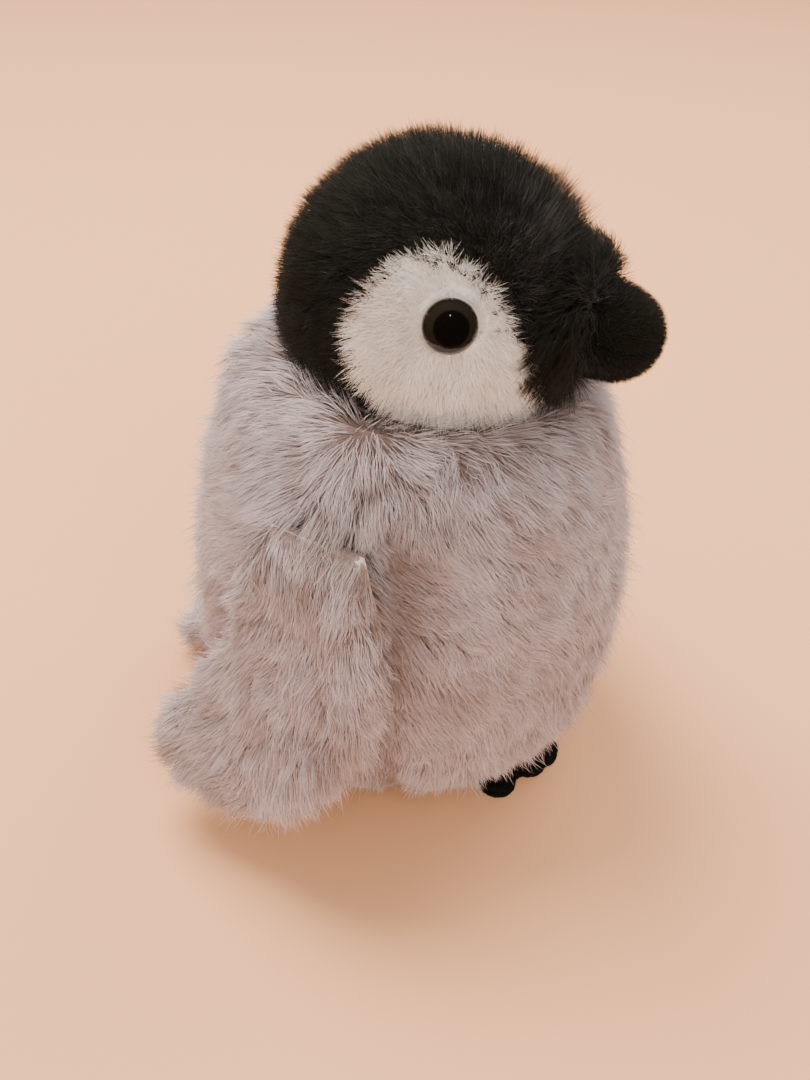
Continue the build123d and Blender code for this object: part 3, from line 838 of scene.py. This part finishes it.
class PENGUIN_OT_beak(bpy.types.Operator):
    """Make the stubby velour beak in its upper and lower halves"""
    bl_idname = "penguin.beak"
    bl_label = "Beak"

    def execute(self, context):
        tint_of = colours()
        velour = cloth("beak_velour", tint_of.black_root, shade(tint_of.black, 0.7), 0.7 * MM,
                       0.2 * MM, roughness=0.95, sheen=0.05, specular=0.05)
        tones = pile_tones("velour_pile", tint_of.black_root, shade(tint_of.black, 0.95), 0.8,
                           0.1, 0.15)
        for half in ("upper", "lower"):
            skin = padded_skin(f"beak_{half}_skin", [f"beak_{half}", "beak_stuffing"], "head",
                               velour, voxel=1.0 * MM, shrink=0.15 * MM, cap=0.5 * MM,
                               cloth_thickness=0.5 * MM, replaced=[f"beak_{half}"],
                               after=lambda mesh: keep_half_beak(mesh, half))
            centres = face_centres(skin)
            seam = np.abs((centres - np.array(BEAK_ROOT)) @ np.array(BEAK_UP)) < 0.12 * MM
            front = (centres[:, 1] < -38 * MM) & ~seam
            grow(f"pile_beak_{half}", skin, front,
                 lambda roots, normals: np.tile((0.0, -1.0, -0.15), (len(roots), 1)),
                 pile().beak_length, tones, "beak_velour", 1300, width=0.14 * MM, lift=(1.35, 1.0),
                 clump=0.8 * MM, gather=0.25, softness=0.3, wild=0.1, steps=SHORT_STEPS,
                 seed=170 + 10 * (half == "upper"))
        return {"FINISHED"}


def keep_half_beak(mesh, half):
    """Cut a whole beak along its middle seam and close it."""
    sign = 1 if half == "upper" else -1
    work = bmesh.new()
    work.from_mesh(mesh)
    geometry = list(work.verts) + list(work.edges) + list(work.faces)
    cut = bmesh.ops.bisect_plane(work, geom=geometry, clear_outer=True, plane_no=BEAK_UP * -sign,
                                 plane_co=BEAK_ROOT - BEAK_UP * sign * SEAM_OVERLAP)
    rim = [edge for edge in cut["geom_cut"] if isinstance(edge, bmesh.types.BMEdge)]
    bmesh.ops.holes_fill(work, edges=rim, sides=0)
    bmesh.ops.recalc_face_normals(work, faces=work.faces)
    work.to_mesh(mesh)
    work.free()
    mesh.shade_smooth()
    mesh.set_sharp_from_angle(angle=math.radians(50))


class PENGUIN_OT_eyes(bpy.types.Operator):
    """Turn the glossy safety eyes with their shanks"""
    bl_idname = "penguin.eyes"
    bl_label = "Eyes"

    def execute(self, context):
        gloss = eye_material()
        bulge = EYE_DOME - EYE_RIM
        ball = (EYE_RADIUS ** 2 + bulge ** 2) / (2 * bulge)
        sweep = math.asin(EYE_RADIUS / ball)
        outline = [(0, -SHANK_LENGTH), (SHANK_RADIUS, -SHANK_LENGTH), (SHANK_RADIUS, -0.3 * MM),
                   (EYE_RADIUS - 0.6 * MM, -0.3 * MM), (EYE_RADIUS - 0.1 * MM, 0.0),
                   (EYE_RADIUS, EYE_RIM * 0.5)]
        for step in range(DOME_STEPS + 1):
            turn = sweep * (1 - step / DOME_STEPS)
            outline.append((ball * math.sin(turn), EYE_DOME - ball + ball * math.cos(turn)))
        for side, sign in SIDES.items():
            outward = Vector((sign * math.sin(EYE_AZIMUTH) * math.cos(EYE_ELEVATION),
                              -math.cos(EYE_AZIMUTH) * math.cos(EYE_ELEVATION),
                              math.sin(EYE_ELEVATION)))
            work = bmesh.new()
            verts = [work.verts.new((x, 0, z)) for x, z in outline]
            edges = [work.edges.new(pair) for pair in zip(verts, verts[1:])]
            bmesh.ops.spin(work, geom=verts + edges, cent=(0, 0, 0), axis=(0, 0, 1), dvec=(0, 0, 0),
                           angle=math.tau, steps=TURNING_STEPS, use_merge=True)
            bmesh.ops.remove_doubles(work, verts=work.verts, dist=0.001 * MM)
            bmesh.ops.recalc_face_normals(work, faces=work.faces)
            ring = [math.hypot(vertex.co.x, vertex.co.y) / EYE_RADIUS for vertex in work.verts]
            place = Matrix.Translation(HEAD_CENTRE + outward * (HEAD_RADIUS + 0.4 * MM))
            work.transform(place @ outward.to_track_quat("Z", "Y").to_matrix().to_4x4())
            mesh = bpy.data.meshes.new(f"safety_eye_{side}")
            work.to_mesh(mesh)
            work.free()
            attribute = mesh.attributes.new("ring", "FLOAT", "POINT")
            attribute.data.foreach_set("value", np.array(ring, np.float32))
            mesh.shade_smooth()
            piece = add_object(f"safety_eye_{side}", mesh, "head", [gloss])
            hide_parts(f"eye_{side}")
        return {"FINISHED"}


class PENGUIN_OT_flippers(bpy.types.Operator):
    """Sew and pad the two flippers, and fan out their pile"""
    bl_idname = "penguin.flippers"
    bl_label = "Flippers"

    def execute(self, context):
        backing = grey_backing("grey_backing_flipper")
        for side in SIDES:
            faces = [f"flipper_outer_{side}", f"flipper_inner_{side}"]
            wadding = f"flipper_wadding_{side}"
            skin = padded_skin(f"flipper_skin_{side}", faces + [wadding], f"flipper_{side}",
                               backing, voxel=2.2 * MM, shrink=0.8 * MM, cap=1.6 * MM,
                               cloth_thickness=1.6 * MM, replaced=faces,
                               after=lambda mesh: cover(mesh, wadding))
            grow_flipper(skin, side, nearest_panels(skin, faces))
        return {"FINISHED"}


def grow_flipper(skin, side, panel):
    """Fan the pile of one flipper out from its shoulder."""
    shoulder = np.array(SHOULDERS[side])
    root = shoulder + (0, 0, 13 * MM)
    furrow = np.array([(8 * MM, -16 * MM), (24 * MM, -36 * MM)])
    top = coordinates(skin.data)[:, 2].max()

    def near_top(roots, depth):
        return rise(roots[:, 2], top - depth, top)

    def fan(roots, normals):
        """Away from the shoulder, outwards at the top edge and back in the rear lobe."""
        near = near_top(roots, 12 * MM)[:, None]
        way = unit(roots - root) * (1 - near) + np.array((0.8 * SIDES[side], 0.2, -1.0)) * near
        low = rise(root[2] - roots[:, 2], 0, 85 * MM)[:, None]
        rear = rise(roots[:, 1:2] - root[1], 0, 30 * MM)
        return way + np.array((0, 0.65, 0.25)) * low * rear

    def furrow_shade(roots, normals):
        """How much painted shade darkens each root in the fold behind the shoulder and on the front and
        top edges.
        """
        flat = roots[:, 1:] - shoulder[1:]
        along = furrow[1] - furrow[0]
        share = np.clip((flat - furrow[0]) @ along / (along @ along), 0, 1)
        gap = np.linalg.norm(flat - furrow[0] - share[:, None] * along, axis=1)
        front_edge = rise(-normals[:, 1], 0.55, 0.85)
        return 1.5 * fall(gap, 4 * MM) + 1.4 * front_edge + 1.6 * near_top(roots, 5 * MM)

    def length(roots, normals):
        drop = rise(root[2] - roots[:, 2], 0, 80 * MM)
        trim = 0.88 + 0.20 * drop - 0.30 * np.minimum(1, furrow_shade(roots, normals))
        return pile().flipper_length * (1 + 0.15 * near_top(roots, 12 * MM)) * trim

    def hood(roots):
        """Bend the pile of the top edge outwards and down over the flipper, in radians."""
        return -0.95 * near_top(roots, 4 * MM)

    for number, face in enumerate(("outer", "inner")):
        grow(f"pile_flipper_{face}_{side}", skin, panel == number, fan, length, grey_tones(),
             "grey_pile", pile().strands * (1.3, 0.7)[number], lift=(0.85, 0.20), clump=3.4 * MM,
             gather=0.6, wild=0.05, seed=200 + (side == "left") * 40 + number * 10,
             hollow=furrow_shade, raised=hood)


def cover(mesh, node, gap=0.4 * MM):
    """Push a skin's points out until they clear the filling under them."""
    tree = surface_tree(node)
    points = coordinates(mesh)
    for index, point in enumerate(points):
        near, normal, _, _ = tree.find_nearest(Vector(point))
        if (Vector(point) - near).dot(normal) < gap:
            points[index] = near + normal * gap
    set_coordinates(mesh, points)


def every_way(roots, normals):
    """Level directions that change from root to root, as felt fibres lie."""
    x, y = roots[:, 0], roots[:, 1]
    return np.stack([np.cos(x * 4e3), np.sin(y * 5e3), 0 * x], 1)


class PENGUIN_OT_feet(bpy.types.Operator):
    """Cut the thin felt feet"""
    bl_idname = "penguin.feet"
    bl_label = "Feet"

    def execute(self, context):
        colour = colours().felt
        felt = cloth("black_felt", shade(colour, 0.45), shade(colour, 1.5), 1.6 * MM, 0.25 * MM,
                     roughness=1.0, sheen=0.0, specular=0.03)
        tones = pile_tones("felt_fibre", shade(colour, 0.5), shade(colour, 1.3), 0.9, 0.0, 0.05)
        for number, side in enumerate(SIDES):
            for layer in ("sole", "upper"):
                node = f"foot_{layer}_{side}"
                mesh = remeshed(node, [node], 0.5 * MM)
                points = coordinates(mesh)
                if layer == "upper":
                    points[:, 2] += (0.10 * MM * wobble(points, 6 * MM, 300 + number)
                                     + 0.04 * MM * wobble(points, 1.5 * MM, 7))
                points[:, 2] = np.maximum(points[:, 2], 0.02 * MM)
                set_coordinates(mesh, points)
                mesh = with_modifier(mesh, "SMOOTH", factor=0.5, iterations=2)
                mesh.shade_smooth()
                piece = add_object(f"felt_{layer}_{side}", mesh, f"foot_{side}", [felt])
                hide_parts(node)
                if layer == "upper":
                    grow(f"felt_fibres_{side}", piece, np.ones(len(mesh.polygons), bool),
                         every_way, 1.1 * MM, tones, "black_felt", 900, width=0.09 * MM,
                         lift=(0.5, 0.25), spread=1.5, clump=1.5 * MM, gather=0.1, curl=1.2,
                         steps=SHORT_STEPS, seed=310 + number,
                         keep=lambda roots, normals: normals[:, 2] > -0.4)
        return {"FINISHED"}


class PENGUIN_OT_tail(bpy.types.Operator):
    """Sew and stuff the stub of a tail"""
    bl_idname = "penguin.tail"
    bl_label = "Tail"

    def execute(self, context):
        halves = ["tail_upper", "tail_lower"]
        skin = padded_skin("tail_skin", halves + ["tail_stuffing"], "tail",
                           grey_backing("grey_backing_tail"), voxel=1.6 * MM, shrink=0.5 * MM,
                           cap=1.0 * MM, cloth_thickness=1.4 * MM, replaced=halves)
        root = np.array(TAIL_ROOT) + (0, -10 * MM, 6 * MM)
        grow("pile_tail", skin, face_centres(skin)[:, 1] > TAIL_ROOT.y - 3 * MM,
             lambda roots, normals: unit(roots - root), pile().tail_length, grey_tones(), "grey_pile",
             pile().strands * 1.5, lift=(1.1, 0.35), spread=0.4, wild=0.1, seed=340)
        return {"FINISHED"}


class PENGUIN_OT_stage(bpy.types.Operator):
    """Set up the pale floor, the soft light and the camera"""
    bl_idname = "penguin.stage"
    bl_label = "Stage"

    def execute(self, context):
        scene = context.scene
        stage = scene.penguin_stage
        floor_mesh = bpy.data.meshes.new("floor")
        work = bmesh.new()
        bmesh.ops.create_grid(work, x_segments=1, y_segments=1, size=FLOOR_SIZE)
        work.to_mesh(floor_mesh)
        work.free()
        floor = linked("floor", floor_mesh)
        floor.location.z = -FLOOR_DROP
        floor_mesh.materials.append(plain("floor_paint", colours().floor, roughness=0.55, specular=0.3))
        floor.visible_glossy = False

        along = Vector((math.sin(stage.azimuth), math.cos(stage.azimuth), 0))
        right = Vector((math.cos(stage.azimuth), -math.sin(stage.azimuth), 0))
        up = Vector((0, 0, 1))
        look = along * math.cos(stage.pitch) - up * math.sin(stage.pitch)
        camera_up = along * math.sin(stage.pitch) + up * math.cos(stage.pitch)
        x_axis = right * math.cos(stage.roll) + camera_up * math.sin(stage.roll)
        y_axis = camera_up * math.cos(stage.roll) - right * math.sin(stage.roll)
        turn = Matrix((x_axis, y_axis, -look)).transposed().to_4x4()
        data = bpy.data.cameras.new("camera")
        assign(data, lens=stage.lens, sensor_width=36, clip_start=0.01)
        camera = linked("camera", data)
        where = -along * stage.distance - right * stage.aside + up * stage.height
        camera.matrix_world = Matrix.Translation(where) @ turn
        scene.camera = camera

        world = bpy.data.worlds.new("soft_room")
        world.use_nodes = True
        set_inputs(world.node_tree.nodes["Background"],
                   {"Color": (1.0, 0.90, 0.82, 1), "Strength": 0.72})
        world.cycles_visibility.glossy = False
        scene.world = world
        lamps = (("key", (0.25, 0.55, 1.25), 0.85, 35.0), ("window", (-0.9, -0.6, 0.9), 1.2, 12.5),
                 ("rim", (0.9, -0.3, 0.8), 0.9, 8.0), ("sparkle", (-0.7, -0.35, 1.1), 0.06, 0.25))
        for name, place, width, power in lamps:
            light = bpy.data.lights.new(name, "AREA")
            assign(light, shape="DISK", size=width, energy=power, color=(1.0, 0.89, 0.80))
            aim = Vector((0, 0, 0.09)) - Vector(place)
            assign(linked(name, light), visible_glossy=name == "sparkle", location=place,
                   rotation_mode="QUATERNION", rotation_quaternion=aim.to_track_quat("-Z", "Y"))
        return {"FINISHED"}


STEPS_IN_ORDER = (PENGUIN_OT_stage, PENGUIN_OT_inner_parts, PENGUIN_OT_body, PENGUIN_OT_head,
                  PENGUIN_OT_muzzle, PENGUIN_OT_beak, PENGUIN_OT_eyes, PENGUIN_OT_flippers,
                  PENGUIN_OT_feet, PENGUIN_OT_tail)


class PENGUIN_PT_panel(bpy.types.Panel):
    """Sidebar list of the pieces and their settings"""
    bl_idname = "PENGUIN_PT_panel"
    bl_label = "Plush penguin chick"
    bl_space_type = "VIEW_3D"
    bl_region_type = "UI"
    bl_category = "Penguin"

    def draw(self, context):
        for step in STEPS_IN_ORDER:
            self.layout.operator(step.bl_idname)
        for group in SETTINGS:
            settings = getattr(context.scene, group)
            box = self.layout.box()
            for key in settings.__annotations__:
                box.prop(settings, key)


def register():
    """Register the add-on's classes and its settings."""
    for item in (*SETTINGS.values(), *STEPS_IN_ORDER, PENGUIN_PT_panel):
        bpy.utils.register_class(item)
    for name, group in SETTINGS.items():
        setattr(bpy.types.Scene, name, PointerProperty(type=group))


def unregister():
    """Take them out again, in the opposite order."""
    for name in reversed(SETTINGS):
        delattr(bpy.types.Scene, name)
    for item in (PENGUIN_PT_panel, *reversed(STEPS_IN_ORDER), *reversed(SETTINGS.values())):
        bpy.utils.unregister_class(item)


def main():
    """Build every piece."""
    register()
    for step in STEPS_IN_ORDER:
        family, name = step.bl_idname.split(".")
        getattr(getattr(bpy.ops, family), name)()


if __name__ == "__main__":
    main()
